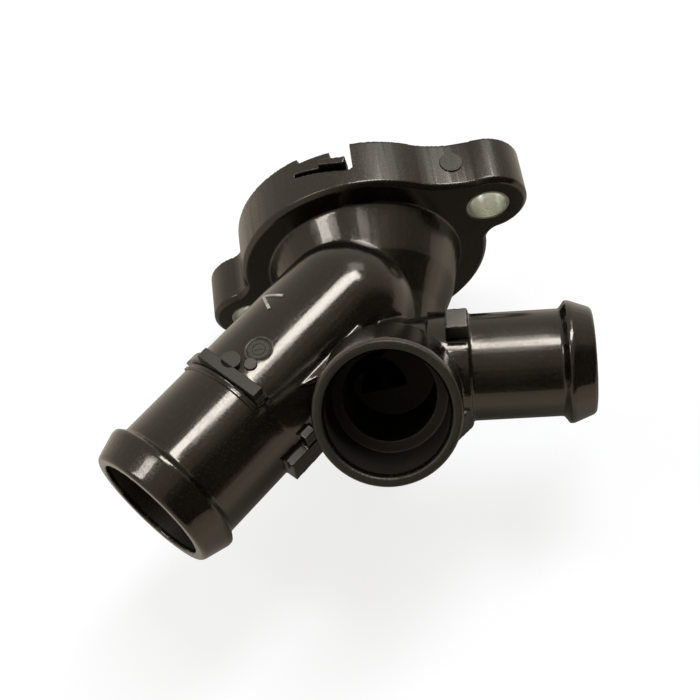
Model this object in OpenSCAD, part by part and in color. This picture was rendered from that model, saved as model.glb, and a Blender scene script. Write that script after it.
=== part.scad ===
// Coolant outlet housing with a snapped-in valve insert, millimetres.
// The origin is the centre of the flange's rear face; +Y runs into the engine, +Z is up.

/* [Flange] */
// Outside diameter of the round flange
flange_d = 54.8; // [54:0.2:57]
// Thickness of the flange and its ears
flange_t = 11.6; // [11:0.2:13]
// Diameter of the circle through both bolt holes
bolt_pcd = 61.8; // [60:0.2:64]
// Angle of the right ear above the plane of the pipes
ear_angle = 25.3; // [22:0.1:28]
// Radius of each ear
ear_r = 8.6; // [8:0.1:9.4]
// Fillet between ear and flange on its wide side
ear_fillet_wide = 24; // [18:1:28]
// Fillet between ear and flange on its tight side
ear_fillet_tight = 5; // [4:0.5:8]
// Chamfer on the front edge of flange and ears
edge_c = 0.9; // [0.6:0.1:1.2]

/* [Sleeves] */
// Bore of each bolt sleeve
bolt_hole_d = 8.2; // [8.2:0.1:8.6]
// Wall of each bolt sleeve
sleeve_wall = 0.5; // [0.4:0.1:0.8]

/* [Large spigot] */
// Outside diameter of the large hose spigot
large_d = 28.4; // [28:0.1:29]
// Wall of the large spigot
large_wall = 2.3; // [2.2:0.1:2.6]
// Angle between the flange axis and the large spigot
large_angle = 48.1; // [47:0.1:49]
// Depth at which the spigot's axis crosses over the flange axis
large_depth = 26.7; // [26.4:0.1:27]
// Length of the large spigot from the flange axis to its mouth
large_len = 65.2; // [63:0.1:70]
// Height of the hose bead over the large tube
large_bead = 1.5; // [1.2:0.05:1.8]

/* [Small spigot] */
// Outside diameter of the small hose spigot
small_d = 21.3; // [21:0.1:21.6]
// Wall of the small spigot
small_wall = 2.2; // [2:0.1:2.4]
// Angle by which the small spigot leans forward
small_angle = 7.3; // [6:0.1:8.5]
// Depth at which the spigot's axis crosses over the flange axis
small_depth = 48.3; // [48:0.1:48.8]
// Length of the small spigot from the flange axis to its mouth
small_len = 41.6; // [40:0.1:46]
// Height of the hose bead over the small tube
small_bead = 1.5; // [1.2:0.05:1.8]

/* [Socket] */
// Outside diameter of the socket at its mouth
socket_d = 26.7; // [26.4:0.1:27.2]
// Diameter of the socket's seal bore
socket_bore_d = 22.6; // [22:0.1:22.8]
// Depth of the seal bore
socket_bore_depth = 16.6; // [15.5:0.1:17]
// Diameter of the passage behind the seal bore
socket_core_d = 17.8; // [17:0.1:18.2]
// Lift of the socket's axis above the plane of the hose spigots
socket_lift = 48.3; // [47.5:0.1:49]
// Turn of the socket to the left of the flange axis
socket_turn = 5.2; // [4.5:0.1:6]
// Height of the hose spigots' axes over the flange axis
port_rise = 13.2; // [12.9:0.1:13.6]

/* [Valve insert] */
// Lift of the valve when it is fully open
valve_travel = 4.5; // [3.5:0.1:4.5]
// Radius of the opening in the valve seat
seat_r = 13; // [12.6:0.1:13.4]
// Radius of the wax capsule
capsule_r = 5.5; // [5.2:0.1:5.7]
// Turns of the conical spring
spring_turns = 3; // [2.5:0.5:3.5]

/* [Fits] */
// Running clearance between the fixed pin and the capsule
pin_clear = 0.05; // [0.02:0.01:0.08]
// Clearance around the carrier in the flange
carrier_clear = 0.2; // [0.15:0.05:0.3]
// Gap under the closed valve ring
seat_gap = 0.05; // [0.03:0.01:0.08]

/* [Hidden] */
$fn = 64;

flange_r = flange_d / 2;
fillet_bite = 0.15;
bolt_r = bolt_pcd / 2;
sleeve_r = bolt_hole_d / 2 + sleeve_wall;
sleeve_len = flange_t - 0.2;

// Neck, in depths measured forward from the flange face, as wide as the insert's seat lets it be
recess_r = 23.6;
neck_r = recess_r - 2.2;
neck_wall = 2.4;
crease_r = 18.2;
crease_at = flange_t + 9.7;
waist_r = 14.6;
waist_at = flange_t + 16.7;
trunk_end_r = 8;
trunk_end = small_depth - 0.7;
chamber_r = neck_r - neck_wall;

// Seat of the insert in the flange
recess_depth = 8.2;
carrier_r = recess_r - carrier_clear;
carrier_rear = 4.4;
carrier_front = 6.8;
shoulder_seal_out_r = carrier_r - 0.2;
shoulder_seal_in_r = chamber_r + 0.6;
face_seal_out_r = carrier_r - 4.8;
face_seal_in_r = face_seal_out_r - 1.8;
face_seal_proud = 0.4;
bridge_rear = 1.2;
bridge_w = 7;
bridge_reach = face_seal_in_r - 0.4;

// Snap finger in the rim: notch beside its tip, slot under it and the nub on it,
// as angles round the flange and depths from its face
notch_from = 88.3;
notch_to = 91;
notch_depth = 6.5;
slot_mid = 102.3;
slot_len = 12.4;
slot_t = 0.9;
slot_depth = 5.35;
slot_ramp = 11;
tip_to = 97.6;
tip_drop = 3;
lip_to = 113;
lip_drop = 1.2;
nub_mid = 97;
nub_len = 5.7;
nub_t = 1.6;
nub_depth = 4.45;
nub_out_r = flange_r + 1;
hook_in_r = carrier_r - 0.8;
hook_len = 3;
hook_t = 1;
hook_gap = 0.1;

// Large spigot and its elbow
large_r = large_d / 2;
large_bore_r = large_r - large_wall;
large_yaw = 270 - large_angle;
elbow_at = 7.6;
elbow_step = 0.1;
large_cone = 5.5;
large_land = 0.9;
large_drop = 1.2;
rib_at = 38.1;
rib_t = 2.5;
rib_h = 1;
rib_from = 148;
rib_to = 243;
boss_at = 35.8;
boss_side = 3;
boss_r = 1.9;
dial_at = 30.6;
dial_r = 2.5;

// Small spigot with its collar and locating block
small_r = small_d / 2;
small_bore_r = small_r - small_wall;
collar_r = small_r + 0.85;
collar_from = 9.5;
collar_to = 17.5;
small_cone = 4.4;
small_land = 0.8;
small_drop = 1.1;
block_len = 4.3;
block_w = 4.4;
block_side = 0.8;
block_top = 16.1;

// Socket, along its own axis from the mouth
socket_r = socket_d / 2;
socket_out = 21.9;
socket_up = 21.6;
socket_side = 0.4;
socket_mouth = [-socket_side, -small_depth - socket_out, port_rise + socket_up];
socket_yaw = -90 - socket_turn;
socket_barrel_r = socket_r + 0.4;
socket_shoulder = 19.4;
socket_edge = 0.6;
socket_back = 36;
socket_rim = 1.2;
socket_lead = 1.5;
socket_flare = 0.6;
socket_core_depth = 39.5;
socket_duct_r = socket_core_d / 2 + 2.4;

// Webs, as heights over and under the plane of the hose spigots
web_top = 10.4;
web_foot = 4.7;
web_from = 13.2;
web_root = 24;
web_bend = 27.1;
web_turn = 31.4;
web_to = 34.8;
web_w = 15.1;
web_bend_w = 11.4;
web_turn_w = 9.9;
web_to_w = 9.6;
plate_from = 19;
plate_to = 41.6;
plate_w = 16.3;
plate_up = 1;
tab_at = 33.5;
tab_len = 3;
tab_side = 12.3;
tab_w = 3.4;
tab_up = 3.8;
gusset_from = 5.7;
gusset_to = 17.3;
gusset_bend = 14;
gusset_to_w = 11;
gusset_bend_w = 14.2;
gusset_from_w = 15;
gusset_up = 2.8;
gusset_down = 4.7;
key_side = 8.2;
key_len = 3.2;
key_w = 4.7;
key_up = 8;
key_back = 0.2;

// Valve
ring_rear = carrier_front + seat_gap;
disc_rear = ring_rear + 1.25;
disc_t = 1.1;
disc_front = disc_rear + disc_t;
disc_rim = 0.4;
disc_r = 14.4;
ring_in_r = seat_r - 0.6;
ring_out_r = disc_r + disc_rim;
hub_r = 4.4;
nose_rear = 5.2;
capsule_end = 19;
pin_r = 1.6;
pin_rear = 2;
pin_front = 14.5;
stirrup_rear = 15.4;
stirrup_t = 0.9;
stirrup_hole_r = capsule_r + 0.7;
stirrup_r = 13.8;
stirrup_leg_r = 15.4;
stirrup_leg_t = 0.9;
stirrup_w = 6;
wire_r = 0.6;
spring_small_r = 8;
spring_large_r = 12.4;

// Point on a circle
function polar(r, a) = [r * cos(a), r * sin(a)];
// Angle at the flange centre between an ear and its fillet centre
function fillet_swing(f) = acos(
  (pow(flange_r + f, 2) + pow(bolt_r, 2) - pow(ear_r + f, 2)) / (2 * (flange_r + f) * bolt_r)
);

// Local Z pointing forward, from the flange face towards the mouths
module forward() {
  rotate([90, 0, 0]) children();
}

// Local Z along the large spigot, starting on the flange axis
module along_large() {
  translate([0, -large_depth, port_rise]) rotate([0, 90, large_yaw]) children();
}

// Local Z along the small spigot, starting on the flange axis
module along_small() {
  translate([0, -small_depth, port_rise]) rotate([0, 90, -small_angle]) children();
}

// Local Z out of the socket, starting at its mouth
module along_socket() {
  translate(socket_mouth) rotate([0, 90 - socket_lift, socket_yaw]) children();
}

// Disc between two depths with a chamfer on its front edge
module edged_disc(r, from, to, c) {
  rotate_extrude() polygon([[0, from], [r, from], [r, to - c], [r - c, to], [0, to]]);
}

// Plain ring between two depths
module ring(r_out, r_in, from, to) {
  rotate_extrude() translate([r_in, from]) square([r_out - r_in, to - from]);
}

// Web that blends an ear into the flange on one side, with the same chamfered edge
module ear_web(f, side) {
  centre = polar(flange_r + f, ear_angle + side * fillet_swing(f));
  bite = f + fillet_bite;
  difference() {
    linear_extrude(flange_t) polygon([[0, 0], polar(bolt_r, ear_angle), centre]);
    translate(centre) rotate_extrude() polygon([
      [0, -1],
      [bite, -1],
      [bite, flange_t - edge_c],
      [bite + edge_c + 1, flange_t + 1],
      [0, flange_t + 1]
    ]);
  }
}

// Flange with both ears
module flange_body() {
  forward() {
    edged_disc(flange_r, 0, flange_t, edge_c);
    for (turn = [0, 180]) rotate([0, 0, turn]) {
      translate(polar(bolt_r, ear_angle)) edged_disc(ear_r, 0, flange_t, edge_c);
      ear_web(ear_fillet_wide, 1);
      ear_web(ear_fillet_tight, -1);
    }
  }
}

// Half outline of a hose spigot with a cone-fronted bead, from s0 to its mouth at s1
module spigot_outline(r, bead, s0, s1, cone, land, drop, step_at, step) {
  crest = r + bead;
  lip = 0.5;
  polygon([
    [0, s0],
    [r + step, s0],
    [r + step, step_at],
    [r, step_at],
    [r, s1 - cone - land - drop],
    [crest, s1 - cone - land],
    [crest, s1 - cone],
    [r, s1 - lip],
    [r - lip, s1],
    [0, s1]
  ]);
}

// Half disc that closes a tube with a round end
module round_end(r, at) {
  intersection() {
    translate([0, at]) circle(r);
    translate([0, at - r]) square([r, r]);
  }
}

// Part ring that stops the hose
module hose_stop() {
  rotate([0, 0, rib_from]) rotate_extrude(angle = rib_to - rib_from)
    translate([large_r - 1, rib_at - rib_t / 2]) square([rib_h + 1, rib_t]);
}

// Large spigot with elbow end, hose stop and ejector boss
module large_body() {
  along_large() {
    rotate_extrude() {
      spigot_outline(
        large_r, large_bead, elbow_at, large_len, large_cone, large_land, large_drop, rib_at, elbow_step
      );
      round_end(large_r + elbow_step, elbow_at);
    }
    hose_stop();
    translate([-large_r + 3, -boss_side, boss_at]) rotate([0, -90, 0]) cylinder(r = boss_r, h = 3.1);
  }
}

// Small spigot with collar and locating block
module small_body() {
  along_small() {
    rotate_extrude() {
      spigot_outline(
        small_r, small_bead, 0, small_len, small_cone, small_land, small_drop, collar_to, 0
      );
      translate([0, collar_from]) square([collar_r, collar_to - collar_from]);
    }
    translate([-block_top, -block_side, collar_to - block_len]) cube([block_top, block_w, block_len]);
  }
}

// Socket barrel with a shoulder and a duct that ends round
module socket_body() {
  along_socket() rotate_extrude() {
    polygon([
      [0, 0],
      [socket_r, 0],
      [socket_barrel_r, -socket_rim],
      [socket_barrel_r, socket_edge - socket_shoulder],
      [socket_barrel_r - socket_edge, -socket_shoulder],
      [socket_duct_r, -socket_shoulder],
      [socket_duct_r, -socket_back],
      [0, -socket_back]
    ]);
    round_end(socket_duct_r, -socket_back);
  }
}

// Neck that tapers to a trunk running up to the socket
module neck_body() {
  forward() rotate_extrude() polygon([
    [0, flange_t - 3],
    [neck_r, flange_t - 3],
    [neck_r, flange_t],
    [crease_r, crease_at],
    [waist_r, waist_at],
    [trunk_end_r, trunk_end],
    [0, trunk_end]
  ]);
}

// Webs between the ports and the small blocks on them
module web_body() {
  along_large() {
    translate([-web_top, 0, 0]) rotate([0, 90, 0]) linear_extrude(web_top + web_foot) polygon([
      [-web_from, 0],
      [-web_to, 0],
      [-web_to, web_to_w],
      [-web_turn, web_turn_w],
      [-web_bend, web_bend_w],
      [-web_root, web_w],
      [-web_from, web_w]
    ]);
    translate([-plate_up, 0, plate_from]) cube([web_foot + plate_up, plate_w, plate_to - plate_from]);
    translate([-tab_up, tab_side, tab_at]) cube([tab_up, tab_w, tab_len]);
  }
  along_small() translate([-gusset_up, 0, 0]) rotate([0, 90, 0])
    linear_extrude(gusset_up + gusset_down) polygon([
      [-gusset_from, 0],
      [-gusset_to, 0],
      [-gusset_to, -gusset_to_w],
      [-gusset_bend, -gusset_bend_w],
      [-gusset_from, -gusset_from_w]
    ]);
  translate([key_side, -small_depth - key_back, port_rise]) cube([key_len, key_w, key_up]);
}

// Ejector pad on the flange rim, beside the right ear
module rim_pad() {
  translate([21.4, -5, 12]) cylinder(r = 2.5, h = 8.3);
}

// Arc-shaped cut through the flange rim, from one angle and depth to another
module rim_cut(a0, a1, depth) {
  rotate([0, 0, a0]) rotate_extrude(angle = a1 - a0)
    translate([recess_r - 1, -1]) square([flange_r - recess_r + 3, depth + 1]);
}

// Cuts that free one snap finger: notch, slot, and its dropped tip and edge
module finger_cut() {
  forward() {
    rim_cut(notch_from, notch_to, notch_depth);
    rim_cut(notch_to - 1, tip_to, tip_drop);
    rim_cut(tip_to - 1, lip_to, lip_drop);
    rotate([0, 0, slot_mid]) translate([recess_r + 3, 0, slot_depth]) rotate([-slot_ramp, 0, 0])
      cube([10, slot_len, slot_t], center = true);
  }
}

// Nub on the finger's tip, standing out of the rim, and its hook over the carrier
module finger_nub() {
  forward() rotate([0, 0, nub_mid]) {
    translate([0, 0, nub_depth]) rotate([-slot_ramp, 0, 0])
      translate([recess_r + 1, -nub_len / 2, -nub_t / 2]) cube([nub_out_r - recess_r - 1, nub_len, nub_t]);
    translate([hook_in_r, -hook_len / 2, carrier_rear - hook_gap - hook_t])
      cube([recess_r + 1.4 - hook_in_r, hook_len, hook_t]);
  }
}

// Hollow of the flange and neck
module chamber() {
  forward() rotate_extrude() polygon([
    [0, -1],
    [recess_r, -1],
    [recess_r, recess_depth],
    [chamber_r, recess_depth],
    [chamber_r, flange_t],
    [crease_r - neck_wall, crease_at],
    [waist_r - neck_wall, waist_at],
    [trunk_end_r - neck_wall, trunk_end - 1.5],
    [0, trunk_end - 1.5]
  ]);
}

// Stepped bore of the socket
module socket_hollow() {
  bore_r = socket_bore_d / 2;
  along_socket() rotate_extrude() polygon([
    [0, 1],
    [bore_r + socket_flare * (1 + 1 / socket_lead), 1],
    [bore_r, -socket_lead],
    [bore_r, -socket_bore_depth],
    [socket_core_d / 2, -socket_bore_depth],
    [socket_core_d / 2, -socket_core_depth],
    [0, -socket_core_depth]
  ]);
}

// All hollows of the housing
module housing_bores() {
  chamber();
  socket_hollow();
  forward() {
    for (turn = [0, 180]) rotate([0, 0, ear_angle + turn]) translate([bolt_r, 0, -1])
      cylinder(r = sleeve_r, h = flange_t + 2);
  }
  along_large() {
    rotate_extrude() {
      translate([0, elbow_at]) square([large_bore_r, large_len]);
      round_end(large_bore_r, elbow_at);
    }
    translate([-large_r + 0.4, 0, dial_at]) rotate([0, -90, 0]) cylinder(r = dial_r, h = 5);
  }
  along_small() cylinder(r = small_bore_r, h = small_len + 1);
  finger_cut();
  rotate([0, 180, 0]) finger_cut();
}

module housing() {
  color([0.05, 0.05, 0.05]) {
    difference() {
      union() {
        flange_body();
        neck_body();
        large_body();
        small_body();
        socket_body();
        web_body();
        rim_pad();
      }
      housing_bores();
    }
    finger_nub();
    rotate([0, 180, 0]) finger_nub();
  }
}

// Metal sleeve in one ear
module sleeve(turn) {
  color("silver") forward() rotate([0, 0, ear_angle + turn]) translate([bolt_r, 0, 0])
    ring(sleeve_r, bolt_hole_d / 2, 0, sleeve_len);
}

module sleeve_right() {
  sleeve(0);
}

module sleeve_left() {
  sleeve(180);
}

// Insert plate with valve seat and bridge
module carrier() {
  color([0.08, 0.08, 0.08]) forward() difference() {
    union() {
      ring(carrier_r, seat_r, carrier_rear, carrier_front);
      translate([-bridge_reach, -bridge_w / 2, bridge_rear])
        cube([2 * bridge_reach, bridge_w, carrier_rear + 0.6 - bridge_rear]);
    }
    translate([0, 0, pin_rear]) cylinder(r = pin_r, h = 10);
  }
}

module face_seal() {
  color([0.12, 0.12, 0.12]) forward()
    ring(face_seal_out_r, face_seal_in_r, -face_seal_proud, carrier_rear);
}

module shoulder_seal() {
  color([0.12, 0.12, 0.12]) forward()
    ring(shoulder_seal_out_r, shoulder_seal_in_r, carrier_front, recess_depth);
}

module pin() {
  color("silver") forward() translate([0, 0, pin_rear]) cylinder(r = pin_r, h = pin_front - pin_rear);
}

// Wax capsule with hub and nose, bored for the pin
module capsule() {
  color([0.72, 0.56, 0.28]) forward() difference() {
    rotate_extrude() polygon([
      [0, nose_rear],
      [3.2, nose_rear],
      [3.2, disc_rear - 0.8],
      [hub_r, disc_rear - 0.8],
      [hub_r, disc_front],
      [capsule_r + 0.8, disc_front],
      [capsule_r + 0.8, disc_front + 1],
      [capsule_r, disc_front + 1],
      [capsule_r, capsule_end - 1],
      [capsule_r - 1, capsule_end],
      [0, capsule_end]
    ]);
    translate([0, 0, nose_rear - 1]) cylinder(r = pin_r + pin_clear, h = capsule_end - nose_rear - 1);
  }
}

module valve_disc() {
  color("silver") forward() ring(disc_r, hub_r, disc_rear, disc_front);
}

module valve_ring() {
  color([0.12, 0.12, 0.12]) forward() ring(ring_out_r, ring_in_r, ring_rear, disc_rear);
}

// Conical spring swept as a faceted tube from the disc to the stirrup
spring_sides = 8;
spring_steps = 24;
spring_rings = spring_turns * spring_steps;
spring_rise = stirrup_rear - disc_front - 2 * wire_r;
function spring_point(i, k) = let (
  u = i / spring_rings,
  turn = 360 * i / spring_steps,
  mean = spring_small_r + (spring_large_r - spring_small_r) * u,
  out = mean + wire_r * cos(360 * k / spring_sides)
) [
  out * cos(turn),
  out * sin(turn),
  disc_front + wire_r + spring_rise * u + wire_r * sin(360 * k / spring_sides)
];
spring_points = [
  for (i = [0 : spring_rings]) for (k = [0 : spring_sides - 1]) spring_point(i, k)
];
spring_faces = concat(
  [for (i = [0 : spring_rings - 1]) for (k = [0 : spring_sides - 1]) [
    i * spring_sides + k,
    i * spring_sides + (k + 1) % spring_sides,
    (i + 1) * spring_sides + (k + 1) % spring_sides,
    (i + 1) * spring_sides + k
  ]],
  [[for (k = [0 : spring_sides - 1]) spring_sides - 1 - k]],
  [[for (k = [0 : spring_sides - 1]) spring_rings * spring_sides + k]]
);

module spring() {
  color([0.6, 0.6, 0.62]) forward() polyhedron(spring_points, spring_faces);
}

// Stirrup that carries the spring, with two legs on the carrier
module stirrup() {
  color("silver") forward() {
    ring(stirrup_r, stirrup_hole_r, stirrup_rear, stirrup_rear + stirrup_t);
    for (turn = [0, 180]) rotate([0, 0, turn]) {
      translate([stirrup_hole_r + 3, -stirrup_w / 2, stirrup_rear])
        cube([stirrup_leg_r + stirrup_leg_t - stirrup_hole_r - 3, stirrup_w, stirrup_t]);
      translate([stirrup_leg_r, -stirrup_w / 2, carrier_front])
        cube([stirrup_leg_t, stirrup_w, stirrup_rear + stirrup_t - carrier_front]);
    }
  }
}

housing();
sleeve_right();
sleeve_left();
carrier();
face_seal();
shoulder_seal();
pin();
capsule();
valve_disc();
valve_ring();
spring();
stirrup();
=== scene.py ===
"""Looks of the coolant housing: moulded shell, mould marks, sleeves, valve insert, light and camera."""

import math

import bmesh
import bpy
from mathutils import Matrix, Vector
from mathutils.bvhtree import BVHTree


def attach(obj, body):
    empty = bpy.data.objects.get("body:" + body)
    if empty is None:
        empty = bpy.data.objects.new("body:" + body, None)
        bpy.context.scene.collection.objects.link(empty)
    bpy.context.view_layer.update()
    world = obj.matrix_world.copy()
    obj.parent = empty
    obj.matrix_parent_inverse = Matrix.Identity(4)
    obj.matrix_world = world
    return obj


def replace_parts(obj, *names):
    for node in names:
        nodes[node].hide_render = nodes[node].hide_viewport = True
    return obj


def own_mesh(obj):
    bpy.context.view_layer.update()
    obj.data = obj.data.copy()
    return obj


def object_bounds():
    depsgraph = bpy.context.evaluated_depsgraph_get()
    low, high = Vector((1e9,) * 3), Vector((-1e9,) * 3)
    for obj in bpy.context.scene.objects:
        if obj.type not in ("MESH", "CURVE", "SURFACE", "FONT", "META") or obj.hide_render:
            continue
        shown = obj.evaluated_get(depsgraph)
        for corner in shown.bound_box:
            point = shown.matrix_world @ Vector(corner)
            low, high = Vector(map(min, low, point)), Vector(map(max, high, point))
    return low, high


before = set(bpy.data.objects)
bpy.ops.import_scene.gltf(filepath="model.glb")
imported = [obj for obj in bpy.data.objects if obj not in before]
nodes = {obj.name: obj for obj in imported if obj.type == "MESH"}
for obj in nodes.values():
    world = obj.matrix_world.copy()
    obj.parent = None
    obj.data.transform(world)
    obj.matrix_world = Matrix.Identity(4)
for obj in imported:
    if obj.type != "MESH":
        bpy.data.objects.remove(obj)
cad_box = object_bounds()
MM = 0.001

# Sizes shared with the part's source, in millimetres
LARGE_START = Vector((0, -26.7, 13.2))
LARGE_ANGLE = math.radians(48.1)
LARGE_R = 14.3
DIAL_AT = 30.6
DIAL_R = 2.5
DIAL_FLOOR = 13.8
SMALL_START = Vector((0, -48.3, 13.2))
SMALL_ANGLE = math.radians(7.3)
SOCKET_MOUTH = Vector((-0.4, -70.2, 34.8))
SOCKET_RISE = math.radians(48.3)
SOCKET_TURN = math.radians(5.2)
FLANGE_CENTRE = Vector((0, 0, 0))
FLANGE_FORWARD = Vector((0, -1, 0))
FLANGE_T = 11.6
DISC_FRONT = 9.2
STIRRUP_REAR = 15.4
SPRING_WIRE_R = 0.6
SPRING_SMALL_R = 8.0
SPRING_LARGE_R = 12.4
SPRING_TURNS = 3.0

# Directions: along the large spigot, to its front side, up, along the small spigot and out of the socket
LARGE_ALONG = Vector((-math.sin(LARGE_ANGLE), -math.cos(LARGE_ANGLE), 0))
LARGE_SIDE = Vector((math.cos(LARGE_ANGLE), -math.sin(LARGE_ANGLE), 0))
UP = Vector((0, 0, 1))
SMALL_ALONG = Vector((math.cos(SMALL_ANGLE), -math.sin(SMALL_ANGLE), 0))
SOCKET_OUT = Vector(
    (
        -math.sin(SOCKET_TURN) * math.cos(SOCKET_RISE),
        -math.cos(SOCKET_TURN) * math.cos(SOCKET_RISE),
        math.sin(SOCKET_RISE),
    )
)


# Node helpers


def new_node(tree, kind, **settings):
    """A node with its properties set by name and its sockets by in_NAME."""
    node = tree.nodes.new(kind)
    for key, value in settings.items():
        if key.startswith("in_"):
            node.inputs[key[3:].replace("_", " ")].default_value = value
        else:
            setattr(node, key, value)
    return node


def join(tree, source, target):
    """Link one socket to another."""
    tree.links.new(source, target)


def feed(tree, value, socket):
    """Set a socket to a number or a colour, or link it to another socket."""
    if isinstance(value, bpy.types.NodeSocket):
        join(tree, value, socket)
    else:
        socket.default_value = value


def noise(tree, vector, scale, detail, rough):
    """A noise texture on a vector socket."""
    node = new_node(tree, "ShaderNodeTexNoise", in_Detail=detail, in_Roughness=rough)
    join(tree, vector, node.inputs["Vector"])
    feed(tree, scale, node.inputs["Scale"])
    return node.outputs["Fac"]


def remap(tree, value, low, high, to_low, to_high):
    """Map one range of a value onto another, clamped and smooth."""
    node = new_node(tree, "ShaderNodeMapRange", interpolation_type="SMOOTHSTEP", clamp=True)
    for name, number in (("From Min", low), ("From Max", high), ("To Min", to_low), ("To Max", to_high)):
        node.inputs[name].default_value = number
    join(tree, value, node.inputs["Value"])
    return node.outputs["Result"]


def blend_colour(tree, factor, first, second):
    """Mix two colours by a factor socket."""
    node = new_node(tree, "ShaderNodeMix", data_type="RGBA")
    join(tree, factor, node.inputs["Factor"])
    for socket, colour in ((node.inputs[6], first), (node.inputs[7], second)):
        feed(tree, (*colour, 1) if isinstance(colour, tuple) else colour, socket)
    return node.outputs[2]


def calc(tree, operation, first, second):
    """Math on two values."""
    node = new_node(tree, "ShaderNodeMath", operation=operation)
    feed(tree, first, node.inputs[0])
    feed(tree, second, node.inputs[1])
    return node.outputs[0]


# Materials

# Parts of a noise's range that become a mask or a tone
MOTTLE_SPAN = (0.3, 0.7)
FLECK_SPAN = (0.54, 0.74)
GRAIN_SPAN = (0.35, 0.65)
GLOSS_SPAN = (0.15, 0.85)
LINE_TONE_SPAN = (0.3, 0.7)
LINE_GLOSS_SPAN = (0.25, 0.75)
# Fibre flecks are longest along the Y of a turned frame
FIBRE_STRETCH = (1.0, 0.35, 0.7)
FIBRE_TURN = (0.2, 0.5, 0.8)
# Height of the grain against that of the flecks
GRAIN_RELIEF = 0.4
# Turned metal: scales of its grain, mottle and flecks, its share of stain and the depth of its lines
METAL_SCALES = (2600, 260, 1800)
STAIN_SHARE = 0.3
LINE_DEPTH = 0.02 * MM
# Width of a dull place's soft border
PLACE_SOFT = 0.4 * MM


def moulded_surface_group():
    """Effect shared by all finishes: fine grain, slow mottling and short fibre flecks."""
    group = bpy.data.node_groups.new("moulded_surface", "ShaderNodeTree")
    face = group.interface
    face.new_socket("Vector", in_out="INPUT", socket_type="NodeSocketVector")
    for name in ("Grain Scale", "Mottle Scale", "Fleck Scale"):
        face.new_socket(name, in_out="INPUT", socket_type="NodeSocketFloat")
    for name in ("Grain", "Mottle", "Flecks"):
        face.new_socket(name, in_out="OUTPUT", socket_type="NodeSocketFloat")
    start = group.nodes.new("NodeGroupInput")
    end = group.nodes.new("NodeGroupOutput")
    place = start.outputs["Vector"]
    grain = noise(group, place, start.outputs["Grain Scale"], detail=3, rough=0.6)
    join(group, grain, end.inputs["Grain"])
    mottle = noise(group, place, start.outputs["Mottle Scale"], detail=4, rough=0.5)
    join(group, remap(group, mottle, *MOTTLE_SPAN, 0, 1), end.inputs["Mottle"])
    stretch = new_node(group, "ShaderNodeMapping", in_Scale=FIBRE_STRETCH, in_Rotation=FIBRE_TURN)
    join(group, place, stretch.inputs["Vector"])
    along_fibres = stretch.outputs["Vector"]
    fibre = noise(group, along_fibres, start.outputs["Fleck Scale"], detail=2, rough=0.5)
    join(group, remap(group, fibre, *FLECK_SPAN, 0, 1), end.inputs["Flecks"])
    return group


SURFACE = moulded_surface_group()


def round_place_group():
    """Mask of one between two radii about an axis and two distances along it, with a soft border."""
    group = bpy.data.node_groups.new("round_place", "ShaderNodeTree")
    face = group.interface
    for name in ("Vector", "Axis Start", "Axis Direction"):
        face.new_socket(name, in_out="INPUT", socket_type="NodeSocketVector")
    for name in ("Inner Radius", "Outer Radius", "From", "To"):
        face.new_socket(name, in_out="INPUT", socket_type="NodeSocketFloat")
    face.new_socket("Mask", in_out="OUTPUT", socket_type="NodeSocketFloat")
    start = group.nodes.new("NodeGroupInput")
    end = group.nodes.new("NodeGroupOutput")

    def vector_step(operation, first, second=None, output="Vector"):
        """Vector math on one or two sockets."""
        node = new_node(group, "ShaderNodeVectorMath", operation=operation)
        join(group, first, node.inputs[0])
        if second is not None:
            join(group, second, node.inputs["Scale"] if operation == "SCALE" else node.inputs[1])
        return node.outputs[output]

    axis = start.outputs["Axis Direction"]
    reach = vector_step("SUBTRACT", start.outputs["Vector"], start.outputs["Axis Start"])
    along = vector_step("DOT_PRODUCT", reach, axis, "Value")
    outward = vector_step("SUBTRACT", reach, vector_step("SCALE", axis, along))
    radius = vector_step("LENGTH", outward, output="Value")
    mask = None
    for value, limit, sign in (
        (radius, "Inner Radius", 1),
        (radius, "Outer Radius", -1),
        (along, "From", 1),
        (along, "To", -1),
    ):
        past = calc(group, "MULTIPLY", calc(group, "SUBTRACT", value, start.outputs[limit]), sign)
        step = remap(group, past, 0, PLACE_SOFT, 0, 1)
        mask = step if mask is None else calc(group, "MULTIPLY", mask, step)
    join(group, mask, end.inputs["Mask"])
    return group


ROUND_PLACE = round_place_group()


def round_place(tree, place, axis_start, axis_direction, radii, reach):
    """Mask of one round place on the part, its sizes in millimetres."""
    node = new_node(tree, "ShaderNodeGroup", node_tree=ROUND_PLACE)
    join(tree, place, node.inputs["Vector"])
    node.inputs["Axis Start"].default_value = axis_start * MM
    node.inputs["Axis Direction"].default_value = axis_direction
    values = (*radii, *reach)
    for name, value in zip(("Inner Radius", "Outer Radius", "From", "To"), values):
        node.inputs[name].default_value = value * MM
    return node.outputs["Mask"]


def start_material(name, scales, **shader):
    """A material with the shared surface effect in place: its tree, shader, place and effect."""
    material = bpy.data.materials.new(name)
    material.use_nodes = True
    tree = material.node_tree
    principled = tree.nodes["Principled BSDF"]
    for key, value in shader.items():
        principled.inputs[key.replace("_", " ")].default_value = value
    place = tree.nodes.new("ShaderNodeTexCoord").outputs["Object"]
    effect = new_node(tree, "ShaderNodeGroup", node_tree=SURFACE)
    join(tree, place, effect.inputs["Vector"])
    for socket, scale in zip(("Grain Scale", "Mottle Scale", "Fleck Scale"), scales):
        effect.inputs[socket].default_value = scale
    return material, tree, principled, place, effect


def add_relief(tree, principled, height, strength, distance):
    """Bump from a height socket."""
    relief = new_node(tree, "ShaderNodeBump", in_Strength=strength, in_Distance=distance)
    join(tree, height, relief.inputs["Height"])
    join(tree, relief.outputs["Normal"], principled.inputs["Normal"])


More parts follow.
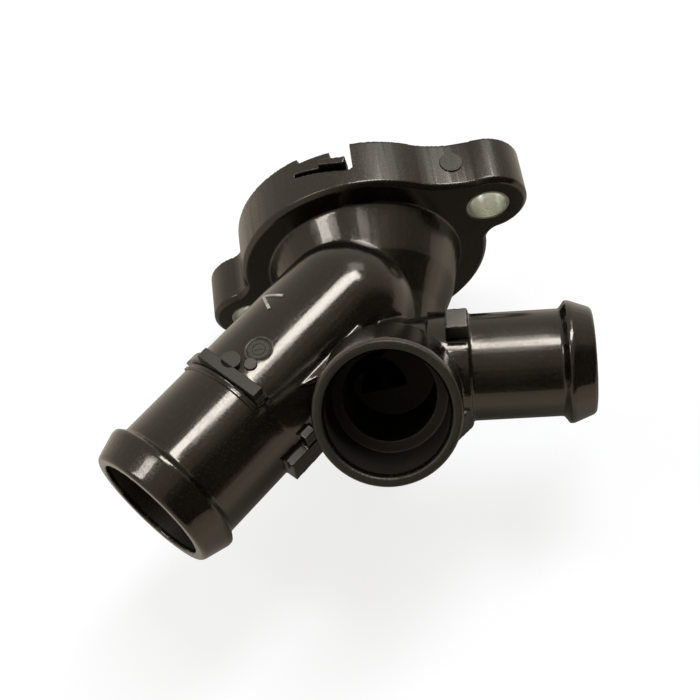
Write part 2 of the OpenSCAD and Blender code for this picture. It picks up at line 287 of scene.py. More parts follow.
def moulded_material(name, dark, light, fleck, rough, scales, bump, dull_places=(), **shader):
    """Plastic or rubber: a tone between two colours, faint fibres, uneven gloss and a fine grain."""
    material, tree, principled, place, effect = start_material(name, scales, **shader)
    fleck_colour, fleck_share = fleck
    mottle = effect.outputs["Mottle"]
    flecks = calc(tree, "MULTIPLY", effect.outputs["Flecks"], fleck_share)
    tone = blend_colour(tree, mottle, dark, light)
    join(tree, blend_colour(tree, flecks, tone, fleck_colour), principled.inputs["Base Color"])
    grain = remap(tree, effect.outputs["Grain"], *GRAIN_SPAN, 0, 1)
    uneven = calc(tree, "MULTIPLY", calc(tree, "ADD", mottle, grain), 0.5)
    gloss = remap(tree, uneven, *GLOSS_SPAN, *rough)
    for more, *where in dull_places:
        duller = calc(tree, "MULTIPLY", round_place(tree, place, *where), more)
        gloss = calc(tree, "ADD", gloss, duller)
    join(tree, gloss, principled.inputs["Roughness"])
    low_grain = calc(tree, "MULTIPLY", effect.outputs["Grain"], GRAIN_RELIEF)
    add_relief(tree, principled, calc(tree, "ADD", low_grain, effect.outputs["Flecks"]), *bump)
    return material


def turned_material(name, dark, light, squeeze, rough, lines_per_m, relief=0.15):
    """Metal with fine turning rings or drawing lines, as bands across the squeezed axes."""
    material, tree, principled, place, effect = start_material(name, METAL_SCALES, Metallic=1)
    flatten = new_node(tree, "ShaderNodeMapping", in_Scale=squeeze)
    join(tree, place, flatten.inputs["Vector"])
    lines = noise(tree, flatten.outputs["Vector"], lines_per_m, detail=3, rough=0.6)
    tone = blend_colour(tree, remap(tree, lines, *LINE_TONE_SPAN, 0, 1), dark, light)
    stain = calc(tree, "MULTIPLY", effect.outputs["Mottle"], STAIN_SHARE)
    join(tree, blend_colour(tree, stain, tone, dark), principled.inputs["Base Color"])
    join(tree, remap(tree, lines, *LINE_GLOSS_SPAN, *rough), principled.inputs["Roughness"])
    add_relief(tree, principled, lines, relief, LINE_DEPTH)
    return material


# Places where the nylon is duller: added roughness, an axis by its start and direction, and the radii
# about it and distances along it, in millimetres. A radius below zero takes in the axis.
ON_AXIS = -1
BORE_DULL = 0.4
EDGE_DULL = 0.35
BLOCK_DULL = 0.3
DIAL_DULL = 0.3
SHEEN_DULL = 0.12
SEAT_DULL = 0.05
DIAL_CENTRE = LARGE_START + LARGE_ALONG * DIAL_AT
LOW_WEB = Vector((14.5, -62.0, 16.0))
DULL_PLACES = (
    # Bores of the large spigot, the small spigot and the socket
    (BORE_DULL, LARGE_START, LARGE_ALONG, (ON_AXIS, 12.2), (8, 64.4)),
    (BORE_DULL, SMALL_START, SMALL_ALONG, (ON_AXIS, 8.75), (0, 41)),
    (BORE_DULL, SOCKET_MOUTH, SOCKET_OUT, (ON_AXIS, 12.5), (-40, -1.2)),
    # Small hose seat, and the block on its collar
    (SEAT_DULL, SMALL_START, SMALL_ALONG, (9, 11.2), (17, 35.6)),
    (BLOCK_DULL, SMALL_START, SMALL_ALONG, (12.2, 18.5), (13.0, 18.0)),
    # Socket's rim, and the top of the low web beside the small collar
    (EDGE_DULL, SOCKET_MOUTH, SOCKET_OUT, (11.0, 15.0), (-0.7, 0.8)),
    (EDGE_DULL, LOW_WEB, UP, (ON_AXIS, 1.5), (-0.8, 0.8)),
    # Flange's edge, up to its rounded front
    (SHEEN_DULL, FLANGE_CENTRE, FLANGE_FORWARD, (25.0, 60.0), (0.2, FLANGE_T - 0.4)),
    # Border of the date dial's recess
    (DIAL_DULL, DIAL_CENTRE, UP, (DIAL_R - 0.4, DIAL_R + 0.6), (DIAL_FLOOR - 1, 16.0)),
)
WARM_GLOSS = (1.0, 0.88, 0.73, 1)

NYLON = moulded_material(
    "black_glass_filled_nylon",
    dark=(0.0016, 0.0012, 0.0009),
    light=(0.0036, 0.0028, 0.0021),
    fleck=((0.05, 0.041, 0.03), 0.3),
    rough=(0.125, 0.205),
    scales=(2600, 70, 5200),
    bump=(0.12, 0.02 * MM),
    dull_places=DULL_PLACES,
    IOR=1.57,
    Specular_Tint=WARM_GLOSS,
)
DULL_NYLON = moulded_material(
    "dull_nylon",
    dark=(0.0032, 0.0026, 0.0021),
    light=(0.0062, 0.0052, 0.0042),
    fleck=((0.04, 0.035, 0.028), 0.3),
    rough=(0.4, 0.52),
    scales=(2600, 70, 4200),
    bump=(0.3, 0.05 * MM),
    IOR=1.5,
    Specular_Tint=WARM_GLOSS,
)
# Light grey for the raised chevron: a painted highlight on an embossed mark of the black nylon
CHEVRON_HIGHLIGHT_NYLON = moulded_material(
    "chevron_painted_highlight",
    dark=(0.2, 0.185, 0.16),
    light=(0.33, 0.31, 0.27),
    fleck=((0.32, 0.31, 0.28), 0.4),
    rough=(0.42, 0.6),
    scales=(2600, 400, 1500),
    bump=(0.2, 0.05 * MM),
    IOR=1.53,
)
CARRIER_PLASTIC = moulded_material(
    "carrier_plastic",
    dark=(0.018, 0.0175, 0.017),
    light=(0.034, 0.033, 0.031),
    fleck=((0.08, 0.078, 0.07), 0.25),
    rough=(0.42, 0.6),
    scales=(2200, 120, 3600),
    bump=(0.3, 0.07 * MM),
    IOR=1.5,
)
SEAL_RUBBER = moulded_material(
    "seal_rubber",
    dark=(0.009, 0.008, 0.0072),
    light=(0.022, 0.0205, 0.019),
    fleck=((0.09, 0.085, 0.08), 0.2),
    rough=(0.55, 0.78),
    scales=(3200, 200, 900),
    bump=(0.35, 0.08 * MM),
    IOR=1.45,
    Specular_Tint=(1.0, 0.9, 0.78, 1),
)
SLEEVE_STEEL = turned_material(
    "plated_sleeve",
    dark=(0.62, 0.64, 0.56),
    light=(0.76, 0.77, 0.69),
    squeeze=(0.12, 1.0, 0.12),
    rough=(0.26, 0.36),
    lines_per_m=1500,
    relief=0.04,
)
BRIGHT_STEEL = turned_material(
    "bright_steel",
    dark=(0.54, 0.54, 0.535),
    light=(0.66, 0.66, 0.65),
    squeeze=(0.3, 0.3, 0.3),
    rough=(0.26, 0.36),
    lines_per_m=1800,
    relief=0.04,
)
CAPSULE_BRASS = turned_material(
    "turned_brass",
    dark=(0.60, 0.43, 0.19),
    light=(0.83, 0.64, 0.33),
    squeeze=(0.1, 1.0, 0.1),
    rough=(0.2, 0.36),
    lines_per_m=2400,
)
SPRING_STEEL = turned_material(
    "drawn_spring_wire",
    dark=(0.34, 0.34, 0.36),
    light=(0.55, 0.55, 0.57),
    squeeze=(1.0, 1.0, 0.3),
    rough=(0.24, 0.42),
    lines_per_m=2000,
)


# Piece helpers

# Distances within which doubled points are merged: of new meshes, and of a CAD node's loose triangles
MESH_WELD = 0.0001 * MM
SOLID_WELD = 0.002 * MM


def dress(obj, material):
    """Give a piece one material in all its slots."""
    obj.data.materials.clear()
    obj.data.materials.append(material)


def add_piece(name, mesh, material):
    """A new piece at the origin that rides on the fixed body."""
    piece = bpy.data.objects.new(name, mesh)
    bpy.context.scene.collection.objects.link(piece)
    dress(piece, material)
    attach(piece, "root")
    return piece


def in_scene(name, mesh):
    """A helper object for modifiers."""
    helper = bpy.data.objects.new(name, mesh)
    bpy.context.scene.collection.objects.link(helper)
    return helper


def evaluated_mesh(helper, name):
    """Plain mesh of a helper with its modifiers applied; the helper is removed."""
    bpy.context.view_layer.update()
    graph = bpy.context.evaluated_depsgraph_get()
    mesh = bpy.data.meshes.new_from_object(helper.evaluated_get(graph))
    mesh.name = name
    bpy.data.objects.remove(helper)
    return mesh


def finished(work, name):
    """Mesh from a bmesh, with its normals outwards and doubled points merged."""
    bmesh.ops.remove_doubles(work, verts=work.verts, dist=MESH_WELD)
    bmesh.ops.recalc_face_normals(work, faces=work.faces)
    mesh = bpy.data.meshes.new(name)
    work.to_mesh(mesh)
    work.free()
    return mesh


def skin_rings(work, rings):
    """Faces between each closed ring of points and the next."""
    for first, second in zip(rings, rings[1:]):
        for k in range(len(first)):
            n = (k + 1) % len(first)
            work.faces.new((first[k], first[n], second[n], second[k]))


# Moulded shell: the housing's own solid with every edge and corner rounded as a mould rounds them

SHELL_VOXEL = 0.23 * MM
SHELL_ROUNDS = 2
SHELL_SOFTEN = 0.5
SHELL_TRIANGLES = 190000


def moulded_shell():
    """Rounded copy of the housing's mesh."""
    mesh = nodes["housing"].data.copy()
    work = bmesh.new()
    work.from_mesh(mesh)
    bmesh.ops.remove_doubles(work, verts=work.verts, dist=SOLID_WELD)
    work.to_mesh(mesh)
    work.free()
    blank = in_scene("shell_blank", mesh)
    skin = blank.modifiers.new("skin", "REMESH")
    skin.mode = "VOXEL"
    skin.voxel_size = SHELL_VOXEL
    soften = blank.modifiers.new("soften", "SMOOTH")
    soften.factor = SHELL_SOFTEN
    soften.iterations = SHELL_ROUNDS
    dense = evaluated_mesh(blank, "dense_shell")
    triangles = sum(len(polygon.vertices) - 2 for polygon in dense.polygons)
    reduced = in_scene("reduced_shell", dense)
    if triangles > SHELL_TRIANGLES:
        reduced.modifiers.new("reduce", "DECIMATE").ratio = SHELL_TRIANGLES / triangles
    shell = evaluated_mesh(reduced, "moulded_shell")
    shell.shade_smooth()
    return shell


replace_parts(add_piece("moulded_shell", moulded_shell(), NYLON), "housing")


# Mould marks on the large spigot


def spigot_out(degrees):
    """Outward direction at an angle from the large spigot's top."""
    turn = math.radians(degrees)
    return UP * math.cos(turn) + LARGE_SIDE * math.sin(turn)


def on_spigot(along, degrees, radius):
    """Point at a distance along the large spigot and an angle from its top, in metres."""
    return (LARGE_START + LARGE_ALONG * along + spigot_out(degrees) * radius) * MM


CHEVRON_TIP = (19.8, -41.0)
CHEVRON_ENDS = ((18.3, -20.3), (22.2, -20.7))
CHEVRON_W = 0.75
CHEVRON_PROUD = 0.22
CHEVRON_SUNK = 0.2
CHEVRON_TAPER = 0.75
# Cross section of a stroke: shares of its half width, and heights over the spigot
CHEVRON_SECTION = (
    (-1, -CHEVRON_SUNK),
    (-CHEVRON_TAPER, CHEVRON_PROUD),
    (CHEVRON_TAPER, CHEVRON_PROUD),
    (1, -CHEVRON_SUNK),
)
STROKE_STEPS = 14


def raised_stroke(work, start, end):
    """Bar that follows the spigot's surface between two (along, degrees) points."""
    across = math.degrees(1 / LARGE_R)
    direction = Vector((end[0] - start[0], (end[1] - start[1]) / across)).normalized()
    sideways = Vector((-direction.y, direction.x)) * CHEVRON_W / 2
    rings = []
    for step in range(STROKE_STEPS + 1):
        part = step / STROKE_STEPS
        along = start[0] + (end[0] - start[0]) * part
        turn = start[1] + (end[1] - start[1]) * part
        ring = []
        for side, lift in CHEVRON_SECTION:
            side_along = along + sideways.x * side
            side_turn = turn + sideways.y * side * across
            ring.append(work.verts.new(on_spigot(side_along, side_turn, LARGE_R + lift)))
        rings.append(ring)
    skin_rings(work, rings)
    work.faces.new(rings[0])
    work.faces.new(rings[-1])


chevron = bmesh.new()
for arm_end in CHEVRON_ENDS:
    raised_stroke(chevron, CHEVRON_TIP, arm_end)
# The chevron's light grey is a painted highlight
add_piece("moulded_chevron", finished(chevron, "moulded_chevron"), CHEVRON_HIGHLIGHT_NYLON)


def standing_on(along, degrees, radius):
    """Matrix with its origin on the spigot and its Z outwards there, in metres."""
    out = spigot_out(degrees).normalized()
    side = out.cross(LARGE_ALONG)
    turn = Matrix((LARGE_ALONG, side, out)).transposed()
    return Matrix.Translation(on_spigot(along, degrees, radius)) @ turn.to_4x4()


RING_STEPS = 48


def turned_ring(work, outline, place):
    """Closed outline of (radius, height) points in millimetres, turned about a place's Z."""
    rings = []
    for step in range(RING_STEPS):
        turn = 2 * math.pi * step / RING_STEPS
        ring = []
        for radius, height in outline:
            point = Vector((radius * math.cos(turn), radius * math.sin(turn), height)) * MM
            ring.append(work.verts.new(place @ point))
        rings.append(ring)
    skin_rings(work, rings + rings[:1])


# Round pads: how deep they are sunk, how wide their soft edge is, and how far its middle is tucked in
PAD_SUNK = 1.0
PAD_SOFT = 0.15
PAD_TUCK = 0.3


def pad_outline(radius, proud):
    """Outline of a low round pad with a soft edge, sunk a little into what carries it."""
    soft = min(PAD_SOFT, proud / 2)
    tuck = PAD_TUCK * soft
    return (
        (0, -PAD_SUNK),
        (radius, -PAD_SUNK),
        (radius, proud - soft),
        (radius - tuck, proud - tuck),
        (radius - soft, proud),
        (0, proud),
    )


# Hose stop with a flat top, and a thin ridge below it
STOP_REACH = (36.85, 39.3)
STOP_SIDES = (-8.0, 7.0)
STOP_TOP = 15.3
STOP_SOFT = 0.14
RIDGE_REACH = (40.1, 40.75)
RIDGE_TURN = (-60, 34)
RIDGE_PROUD = 0.35
RIDGE_SOFT = 0.2
ROOT_R = 13.1
ARC_STEPS = 32


def arc(radius, first, last):
    """Points of (side, up) on an arc about the spigot, by degrees from its top."""
    steps = range(ARC_STEPS + 1)
    turns = [math.radians(first + (last - first) * step / ARC_STEPS) for step in steps]
    return [(radius * math.sin(turn), radius * math.cos(turn)) for turn in turns]


def bar_across(work, outlines):
    """Closed bar through outlines of (side, up) points, each at a distance along the spigot."""
    rings = []
    for along, outline in outlines:
        centre = LARGE_START + LARGE_ALONG * along
        ring = []
        for side, up in outline:
            ring.append(work.verts.new((centre + LARGE_SIDE * side + UP * up) * MM))
        rings.append(ring)
    skin_rings(work, rings)
    work.faces.new(rings[0])
    work.faces.new(rings[-1])


def stop_outline(drop):
    """Flat-topped outline whose foot follows the spigot, smaller by a drop at its top and ends."""
    left, right = STOP_SIDES[0] + drop, STOP_SIDES[1] - drop
    foot_turns = [math.degrees(math.asin(side / ROOT_R)) for side in (left, right)]
    shoulder = STOP_TOP - STOP_SOFT - drop
    crown = STOP_TOP - drop
    return [
        (right, shoulder),
        (right - STOP_SOFT, crown),
        (left + STOP_SOFT, crown),
        (left, shoulder),
        *arc(ROOT_R, *foot_turns),
    ]


stop = bmesh.new()
bar_across(
    stop,
    [
        (STOP_REACH[0], stop_outline(STOP_SOFT)),
        (STOP_REACH[0] + STOP_SOFT, stop_outline(0)),
        (STOP_REACH[1] - STOP_SOFT, stop_outline(0)),
        (STOP_REACH[1], stop_outline(STOP_SOFT)),
    ],
)
add_piece("hose_stop_top", finished(stop, "hose_stop_top"), DULL_NYLON)


def ridge_outline(proud):
    """Outline of a thin ridge that follows the spigot."""
    return arc(LARGE_R + proud, *RIDGE_TURN) + arc(ROOT_R, RIDGE_TURN[1], RIDGE_TURN[0])


ridge = bmesh.new()
bar_across(
    ridge,
    [
        (RIDGE_REACH[0], ridge_outline(0)),
        (RIDGE_REACH[0] + RIDGE_SOFT, ridge_outline(RIDGE_PROUD)),
        (RIDGE_REACH[1] - RIDGE_SOFT, ridge_outline(RIDGE_PROUD)),
        (RIDGE_REACH[1], ridge_outline(0)),
    ],
)
add_piece("hose_stop_ridge", finished(ridge, "hose_stop_ridge"), NYLON)

# Dull tops of the small blocks between the ports: their reach along the large spigot, sides and height
BLOCK_TOPS = (
    ("plate_top", (37.0, 41.3), (14.4, 16.0), 1.0),
    ("tab_top", (33.8, 36.2), (12.6, 15.4), 3.8),
)
TOP_PROUD = 0.04
TOP_SUNK = 0.4
for name, reach, (left, right), up in BLOCK_TOPS:
    high, low = up + TOP_PROUD, up - TOP_SUNK
    section = [(left, low), (right, low), (right, high), (left, high)]
    block_top = bmesh.new()
    bar_across(block_top, [(along, section) for along in reach])
    add_piece(name, finished(block_top, name), DULL_NYLON)

# Ejector boss beside the hose stop, its top level with the stop's
BOSS_AT = (36.0, -2.2)
BOSS_R = 2.0
BOSS_PROUD = 1.2
boss_base = LARGE_START + LARGE_ALONG * BOSS_AT[0] + LARGE_SIDE * BOSS_AT[1]
boss_base += UP * (STOP_TOP - BOSS_PROUD)
boss = bmesh.new()
turned_ring(boss, pad_outline(BOSS_R, BOSS_PROUD), Matrix.Translation(boss_base * MM))
add_piece("ejector_boss", finished(boss, "ejector_boss"), DULL_NYLON)

# Small round pad beside the hose stop: a core pin's end
PAD_AT = (34.1, 4.6)
PAD_R = 1.3
PAD_PROUD = 0.4
pad = bmesh.new()
turned_ring(pad, pad_outline(PAD_R, PAD_PROUD), standing_on(*PAD_AT, LARGE_R))
add_piece("core_pin_pad", finished(pad, "core_pin_pad"), DULL_NYLON)

# Ejector pin's mark on the flange's edge beside the right ear, standing on the surface found there
EJECTOR_OVER = Vector((21.4, -5.0, 60.0)) * MM
EJECTOR_R = 2.5
EJECTOR_PROUD = 0.34
housing_mesh = nodes["housing"].data
housing_faces = BVHTree.FromPolygons(
    [vertex.co for vertex in housing_mesh.vertices],
    [polygon.vertices for polygon in housing_mesh.polygons],
)
ejector_at, ejector_out, _, _ = housing_faces.ray_cast(EJECTOR_OVER, Vector((0, 0, -1)))
ejector_turn = ejector_out.to_track_quat("Z", "Y").to_matrix().to_4x4()
ejector_place = Matrix.Translation(ejector_at) @ ejector_turn
ejector = bmesh.new()
turned_ring(ejector, pad_outline(EJECTOR_R, EJECTOR_PROUD), ejector_place)
add_piece("ejector_mark", finished(ejector, "ejector_mark"), NYLON)

# Date dial in its recess: a dull insert with two rings, a dark bar as painted shade of its slot and a
# ring of plain ticks
DIAL_RING_R = (2.25, 1.35)
DIAL_RING_W = 0.16
DIAL_RELIEF = 0.07
DIAL_RING_FOOT = 0.02
DIAL_RING_SUNK = 0.1
DIAL_INSERT = 0.32
DIAL_GAP = 0.06
dial_base = standing_on(DIAL_AT, 0, DIAL_FLOOR)
dial_place = standing_on(DIAL_AT, 0, DIAL_FLOOR + DIAL_INSERT)
dial = bmesh.new()
turned_ring(dial, pad_outline(DIAL_R - DIAL_GAP, DIAL_INSERT), dial_base)
for ring_r in DIAL_RING_R:
    inner_r = ring_r - DIAL_RING_W
    ring_section = (
        (inner_r, -DIAL_RING_SUNK),
        (ring_r, -DIAL_RING_SUNK),
        (ring_r, DIAL_RING_FOOT),
        (ring_r - DIAL_RING_W / 2, DIAL_RELIEF),
        (inner_r, DIAL_RING_FOOT),
    )
    turned_ring(dial, ring_section, dial_place)
add_piece("date_dial", finished(dial, "date_dial"), DULL_NYLON)
# Dark bar raised on the dial where its slot lies in shade: painted shade
SLOT_SHADE_LEN = 1.75
SLOT_SHADE_W = 0.34
SLOT_SHADE_TURN = math.radians(-42)
slot_shade_place = dial_place @ Matrix.Rotation(SLOT_SHADE_TURN, 4, "Z")
slot_shade_size = Matrix.Diagonal((SLOT_SHADE_LEN * MM, SLOT_SHADE_W * MM, 2 * DIAL_RELIEF * MM, 1))
slot_shade = bmesh.new()
bmesh.ops.create_cube(slot_shade, size=1, matrix=slot_shade_place @ slot_shade_size)
add_piece("dial_slot_shade", finished(slot_shade, "dial_slot_shade"), SEAL_RUBBER)


def new_tree(name, inputs):
    """Geometry tree with named number inputs, a material input and one geometry output."""
    tree = bpy.data.node_groups.new(name, "GeometryNodeTree")
    for socket_name, kind in inputs:
        tree.interface.new_socket(socket_name, in_out="INPUT", socket_type=kind)
    tree.interface.new_socket("Material", in_out="INPUT", socket_type="NodeSocketMaterial")
    tree.interface.new_socket("Geometry", in_out="OUTPUT", socket_type="NodeSocketGeometry")
    return tree, tree.nodes.new("NodeGroupInput"), tree.nodes.new("NodeGroupOutput")


def close_tree(tree, start, geometry, end):
    """End a geometry tree in realized geometry with its material set."""
    real = tree.nodes.new("GeometryNodeRealizeInstances")
    join(tree, geometry, real.inputs["Geometry"])
    dressed = tree.nodes.new("GeometryNodeSetMaterial")
    join(tree, real.outputs["Geometry"], dressed.inputs["Geometry"])
    join(tree, start.outputs["Material"], dressed.inputs["Material"])
    join(tree, dressed.outputs["Geometry"], end.inputs["Geometry"])


def grown_mesh(tree, name, values):
    """Plain mesh that a geometry tree makes from values given by input name."""
    helper = in_scene(name, bpy.data.meshes.new(name))
    grow = helper.modifiers.new("grow", "NODES")
    grow.node_group = tree
    for socket in tree.interface.items_tree:
        if socket.in_out == "INPUT":
            grow[socket.identifier] = values[socket.name]
    return evaluated_mesh(helper, name)


def tick_tree():
    """Bars set round a circle, each along its own radius."""
    tree, start, end = new_tree(
        "dial_ticks",
        (
            ("Count", "NodeSocketInt"),
            ("Radius", "NodeSocketFloat"),
            ("Bar Size", "NodeSocketVector"),
        ),
    )
    circle = tree.nodes.new("GeometryNodeMeshCircle")
    join(tree, start.outputs["Count"], circle.inputs["Vertices"])
    join(tree, start.outputs["Radius"], circle.inputs["Radius"])
    bar = tree.nodes.new("GeometryNodeMeshCube")
    join(tree, start.outputs["Bar Size"], bar.inputs["Size"])
    outward = new_node(tree, "FunctionNodeAlignRotationToVector", axis="X")
    position = tree.nodes.new("GeometryNodeInputPosition").outputs["Position"]
    join(tree, position, outward.inputs["Vector"])
    spread = tree.nodes.new("GeometryNodeInstanceOnPoints")
    join(tree, circle.outputs["Mesh"], spread.inputs["Points"])
    join(tree, bar.outputs["Mesh"], spread.inputs["Instance"])
    join(tree, outward.outputs["Rotation"], spread.inputs["Rotation"])
    close_tree(tree, start, spread.outputs["Instances"], end)
    return tree


TICK_COUNT = 12
TICK_RING_R = 1.8
TICK_SIZE = (0.42 * MM, 0.14 * MM, 0.1 * MM)
ticks = grown_mesh(
    tick_tree(),
    "dial_ticks",
    {
        "Count": TICK_COUNT,
        "Radius": TICK_RING_R * MM,
        "Bar Size": TICK_SIZE,
        "Material": DULL_NYLON,
    },
)
ticks.transform(dial_place)
add_piece("dial_ticks", ticks, DULL_NYLON)


# Conical spring between the valve disc and the stirrup

COIL_STEPS = 64
WIRE_SIDES = 16


def coil_tree():
    """Round wire wound on a cone, rising along Z."""
    tree, start, end = new_tree(
        "conical_coil",
        (
            ("Turns", "NodeSocketFloat"),
            ("Small Radius", "NodeSocketFloat"),
            ("Large Radius", "NodeSocketFloat"),
            ("Rise", "NodeSocketFloat"),
            ("Wire Radius", "NodeSocketFloat"),
        ),
    )
    path = new_node(tree, "GeometryNodeCurveSpiral", in_Resolution=COIL_STEPS)
    join(tree, start.outputs["Turns"], path.inputs["Rotations"])
    join(tree, start.outputs["Small Radius"], path.inputs["Start Radius"])
    join(tree, start.outputs["Large Radius"], path.inputs["End Radius"])
    join(tree, start.outputs["Rise"], path.inputs["Height"])
    wire = new_node(tree, "GeometryNodeCurvePrimitiveCircle", in_Resolution=WIRE_SIDES)
    join(tree, start.outputs["Wire Radius"], wire.inputs["Radius"])
    sweep = new_node(tree, "GeometryNodeCurveToMesh", in_Fill_Caps=True)
    join(tree, path.outputs["Curve"], sweep.inputs["Curve"])
    join(tree, wire.outputs["Curve"], sweep.inputs["Profile Curve"])
    smooth = tree.nodes.new("GeometryNodeSetShadeSmooth")
    join(tree, sweep.outputs["Mesh"], smooth.inputs["Geometry"])
    close_tree(tree, start, smooth.outputs["Geometry"], end)
    return tree


spring_room = STIRRUP_REAR - DISC_FRONT
coil = grown_mesh(
    coil_tree(),
    "valve_spring",
    {
        "Turns": SPRING_TURNS,
        "Small Radius": SPRING_SMALL_R * MM,
        "Large Radius": SPRING_LARGE_R * MM,
        "Rise": (spring_room - 2 * SPRING_WIRE_R) * MM,
        "Wire Radius": SPRING_WIRE_R * MM,
        "Material": SPRING_STEEL,
    },
)
forward = Matrix.Rotation(math.radians(90), 4, "X")
coil.transform(forward @ Matrix.Translation((0, 0, (DISC_FRONT + SPRING_WIRE_R) * MM)))
spring = add_piece("valve_spring", coil, SPRING_STEEL)
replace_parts(spring, "spring")
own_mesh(spring)

# Finishes of the CAD solids, of the hidden ones too

for name, material in (
    ("sleeve_right", SLEEVE_STEEL),
    ("sleeve_left", SLEEVE_STEEL),
    ("carrier", CARRIER_PLASTIC),
    ("face_seal", SEAL_RUBBER),
    ("shoulder_seal", SEAL_RUBBER),
    ("pin", BRIGHT_STEEL),
    ("capsule", CAPSULE_BRASS),
    ("valve_disc", BRIGHT_STEEL),
    ("valve_ring", SEAL_RUBBER),
    ("spring", SPRING_STEEL),
    ("stirrup", BRIGHT_STEEL),
    ("housing", NYLON),
):
    dress(nodes[name], material)

# Floor, lamps, room and camera

WHITE = (1, 1, 1, 1)
FLOOR_Z = cad_box[0][2]
FLOOR_HALF = 3.0
FLOOR_PAPER = (0.86, 0.86, 0.86, 1)
# Share of plain white in what the camera sees of the floor, close to the part and far from it
FLOOR_WHITE = (0.8, 1.0)
FLOOR_WHITE_REACH = (0.16, 0.5)
# Brightness of the floor in reflections, under the part and away from it: a painted shadow, dim under
# the part
FLOOR_SHEEN = (0.14, 0.85)
FLOOR_SHADE_AT = (0.005, -0.04)
FLOOR_SHADE_REACH = (0.03, 0.105)
# Room: its light and the white in its reflections fall off towards its dark side, by the cosine to it
ROOM_TINT = (1.0, 0.9, 0.76, 1)
DARK_SIDE = Vector((0.64, -0.763, 0.087))
ROOM_LIGHT = (0.55, 0.07)
ROOM_LIGHT_FALL = (0.36, 0.70)
ROOM_MIRROR = (0.35, 0)
ROOM_MIRROR_FALL = (-0.2, 0.45)


def ray_masks(tree):
    """Masks of the rays from the camera or through glass, and of the mirrored ones."""
    path = tree.nodes.new("ShaderNodeLightPath")
    direct = calc(tree, "MAXIMUM", path.outputs["Is Camera Ray"], path.outputs["Is Transmission Ray"])
    return direct, path.outputs["Is Glossy Ray"]


def floor_material():
    """Pale floor that keeps the part's shadow; mirrored, a soft white with a painted shadow under the
    part.
    """
    material = bpy.data.materials.new("pale_floor")
    material.use_nodes = True
    tree = material.node_tree
    tree.nodes.clear()
    output = tree.nodes.new("ShaderNodeOutputMaterial")
    direct, mirrored = ray_masks(tree)
    paper = new_node(tree, "ShaderNodeBsdfDiffuse", in_Color=FLOOR_PAPER)
    glow = new_node(tree, "ShaderNodeEmission", in_Color=WHITE, in_Strength=1.0)
    away = new_node(tree, "ShaderNodeVectorMath", operation="DISTANCE")
    join(tree, tree.nodes.new("ShaderNodeTexCoord").outputs["Object"], away.inputs[0])
    away.inputs[1].default_value = (*FLOOR_SHADE_AT, FLOOR_Z)
    # Glow seen in reflections, dimmed near the part as a painted shadow
    sheen = new_node(tree, "ShaderNodeEmission", in_Color=ROOM_TINT)
    brightness = remap(tree, away.outputs["Value"], *FLOOR_SHADE_REACH, *FLOOR_SHEEN)
    join(tree, brightness, sheen.inputs["Strength"])
    to_glow = tree.nodes.new("ShaderNodeMixShader")
    whiteness = remap(tree, away.outputs["Value"], *FLOOR_WHITE_REACH, *FLOOR_WHITE)
    join(tree, calc(tree, "MULTIPLY", direct, whiteness), to_glow.inputs["Fac"])
    join(tree, paper.outputs["BSDF"], to_glow.inputs[1])
    join(tree, glow.outputs["Emission"], to_glow.inputs[2])
    to_sheen = tree.nodes.new("ShaderNodeMixShader")
    join(tree, mirrored, to_sheen.inputs["Fac"])
    join(tree, to_glow.outputs["Shader"], to_sheen.inputs[1])
    join(tree, sheen.outputs["Emission"], to_sheen.inputs[2])
    join(tree, to_sheen.outputs["Shader"], output.inputs["Surface"])
    return material


floor_mesh = bpy.data.meshes.new("studio_floor")
corners = ((-1, -1), (1, -1), (1, 1), (-1, 1))
floor_points = [(x * FLOOR_HALF, y * FLOOR_HALF, FLOOR_Z) for x, y in corners]
floor_mesh.from_pydata(floor_points, [], [(0, 1, 2, 3)])
floor = bpy.data.objects.new("studio_floor", floor_mesh)
bpy.context.scene.collection.objects.link(floor)
dress(floor, floor_material())


def room_world():
    """White to the camera; in reflections a pale room that falls off to a dark right front side."""
    world = bpy.data.worlds.new("studio_room")
    world.use_nodes = True
    tree = world.node_tree
    tree.nodes.clear()
    output = tree.nodes.new("ShaderNodeOutputWorld")
    direct, mirrored = ray_masks(tree)
    towards = new_node(tree, "ShaderNodeVectorMath", operation="DOT_PRODUCT")
    join(tree, tree.nodes.new("ShaderNodeTexCoord").outputs["Generated"], towards.inputs[0])
    towards.inputs[1].default_value = DARK_SIDE
    room = new_node(tree, "ShaderNodeBackground", in_Color=ROOM_TINT)
    strength = remap(tree, towards.outputs["Value"], *ROOM_LIGHT_FALL, *ROOM_LIGHT)
    join(tree, strength, room.inputs["Strength"])
    white = new_node(tree, "ShaderNodeBackground", in_Color=WHITE, in_Strength=1.0)
    pale = remap(tree, towards.outputs["Value"], *ROOM_MIRROR_FALL, *ROOM_MIRROR)
    share = calc(tree, "MAXIMUM", direct, calc(tree, "MULTIPLY", mirrored, pale))
    choose = tree.nodes.new("ShaderNodeMixShader")
    join(tree, share, choose.inputs["Fac"])
    join(tree, room.outputs["Background"], choose.inputs[1])
    join(tree, white.outputs["Background"], choose.inputs[2])
    join(tree, choose.outputs["Shader"], output.inputs["Surface"])
    return world


bpy.context.scene.world = room_world()

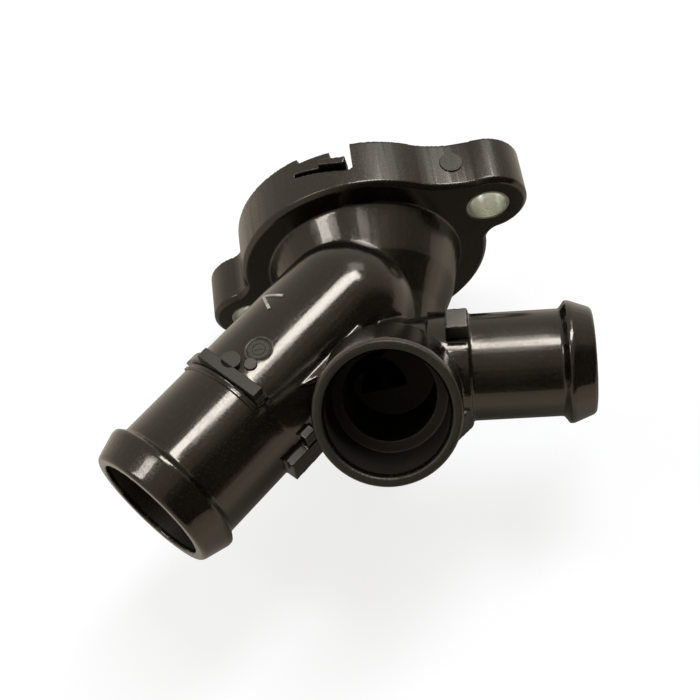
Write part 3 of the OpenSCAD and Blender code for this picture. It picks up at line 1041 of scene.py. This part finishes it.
LAMP_TARGET = Vector((-5, -35, 10)) * MM
LAMP_DISTANCE = 1.2
LAMP_COLOUR = (0.95, 1.0, 1.08)


def soft_box(name, direction, along, size, watts):
    """Area lamp that faces the part from a direction, with its long side along another."""
    lamp = bpy.data.lights.new(name, "AREA")
    lamp.shape = "RECTANGLE"
    lamp.size, lamp.size_y = size
    lamp.energy = watts
    lamp.color = LAMP_COLOUR
    holder = bpy.data.objects.new(name, lamp)
    bpy.context.scene.collection.objects.link(holder)
    way = Vector(direction).normalized()
    cross = way.cross(Vector(along)).normalized()
    facing = Matrix((cross.cross(way), cross, way)).transposed()
    holder.matrix_world = Matrix.Translation(LAMP_TARGET + way * LAMP_DISTANCE) @ facing.to_4x4()


soft_box("back_soft_box", (0.233, 0.298, 0.926), (0.467, 0.252, -0.199), (0.71, 0.29), 13.0)
soft_box("left_soft_box", (-0.575, 0.015, 0.803), (-0.39, 0.185, -0.284), (0.46, 0.17), 3.5)
soft_box("rear_soft_box", (0.40, 0.62, 0.675), (1.0, 0.0, -0.6), (0.4, 0.3), 0.85)

# Camera fitted to the photograph: its place in metres and its right and back directions
CAMERA_AT = Vector((0.001446, -0.190410, 0.246881))
CAMERA_RIGHT = Vector((0.9858, -0.1262, -0.1112)).normalized()
CAMERA_BACK = Vector((0.0265, -0.5365, 0.8435))
SENSOR = 36
FOCAL_PIXELS = 1367.0
PHOTO_PIXELS = 700
lens = bpy.data.cameras.new("photo_camera")
lens.sensor_width = SENSOR
lens.lens = SENSOR * FOCAL_PIXELS / PHOTO_PIXELS
lens.clip_start = 0.01
camera = bpy.data.objects.new("photo_camera", lens)
bpy.context.scene.collection.objects.link(camera)
back = (CAMERA_BACK - CAMERA_RIGHT * CAMERA_BACK.dot(CAMERA_RIGHT)).normalized()
facing = Matrix((CAMERA_RIGHT, back.cross(CAMERA_RIGHT), back)).transposed()
camera.matrix_world = Matrix.Translation(CAMERA_AT) @ facing.to_4x4()
bpy.context.scene.camera = camera
bpy.context.scene.view_settings.view_transform = "Standard"
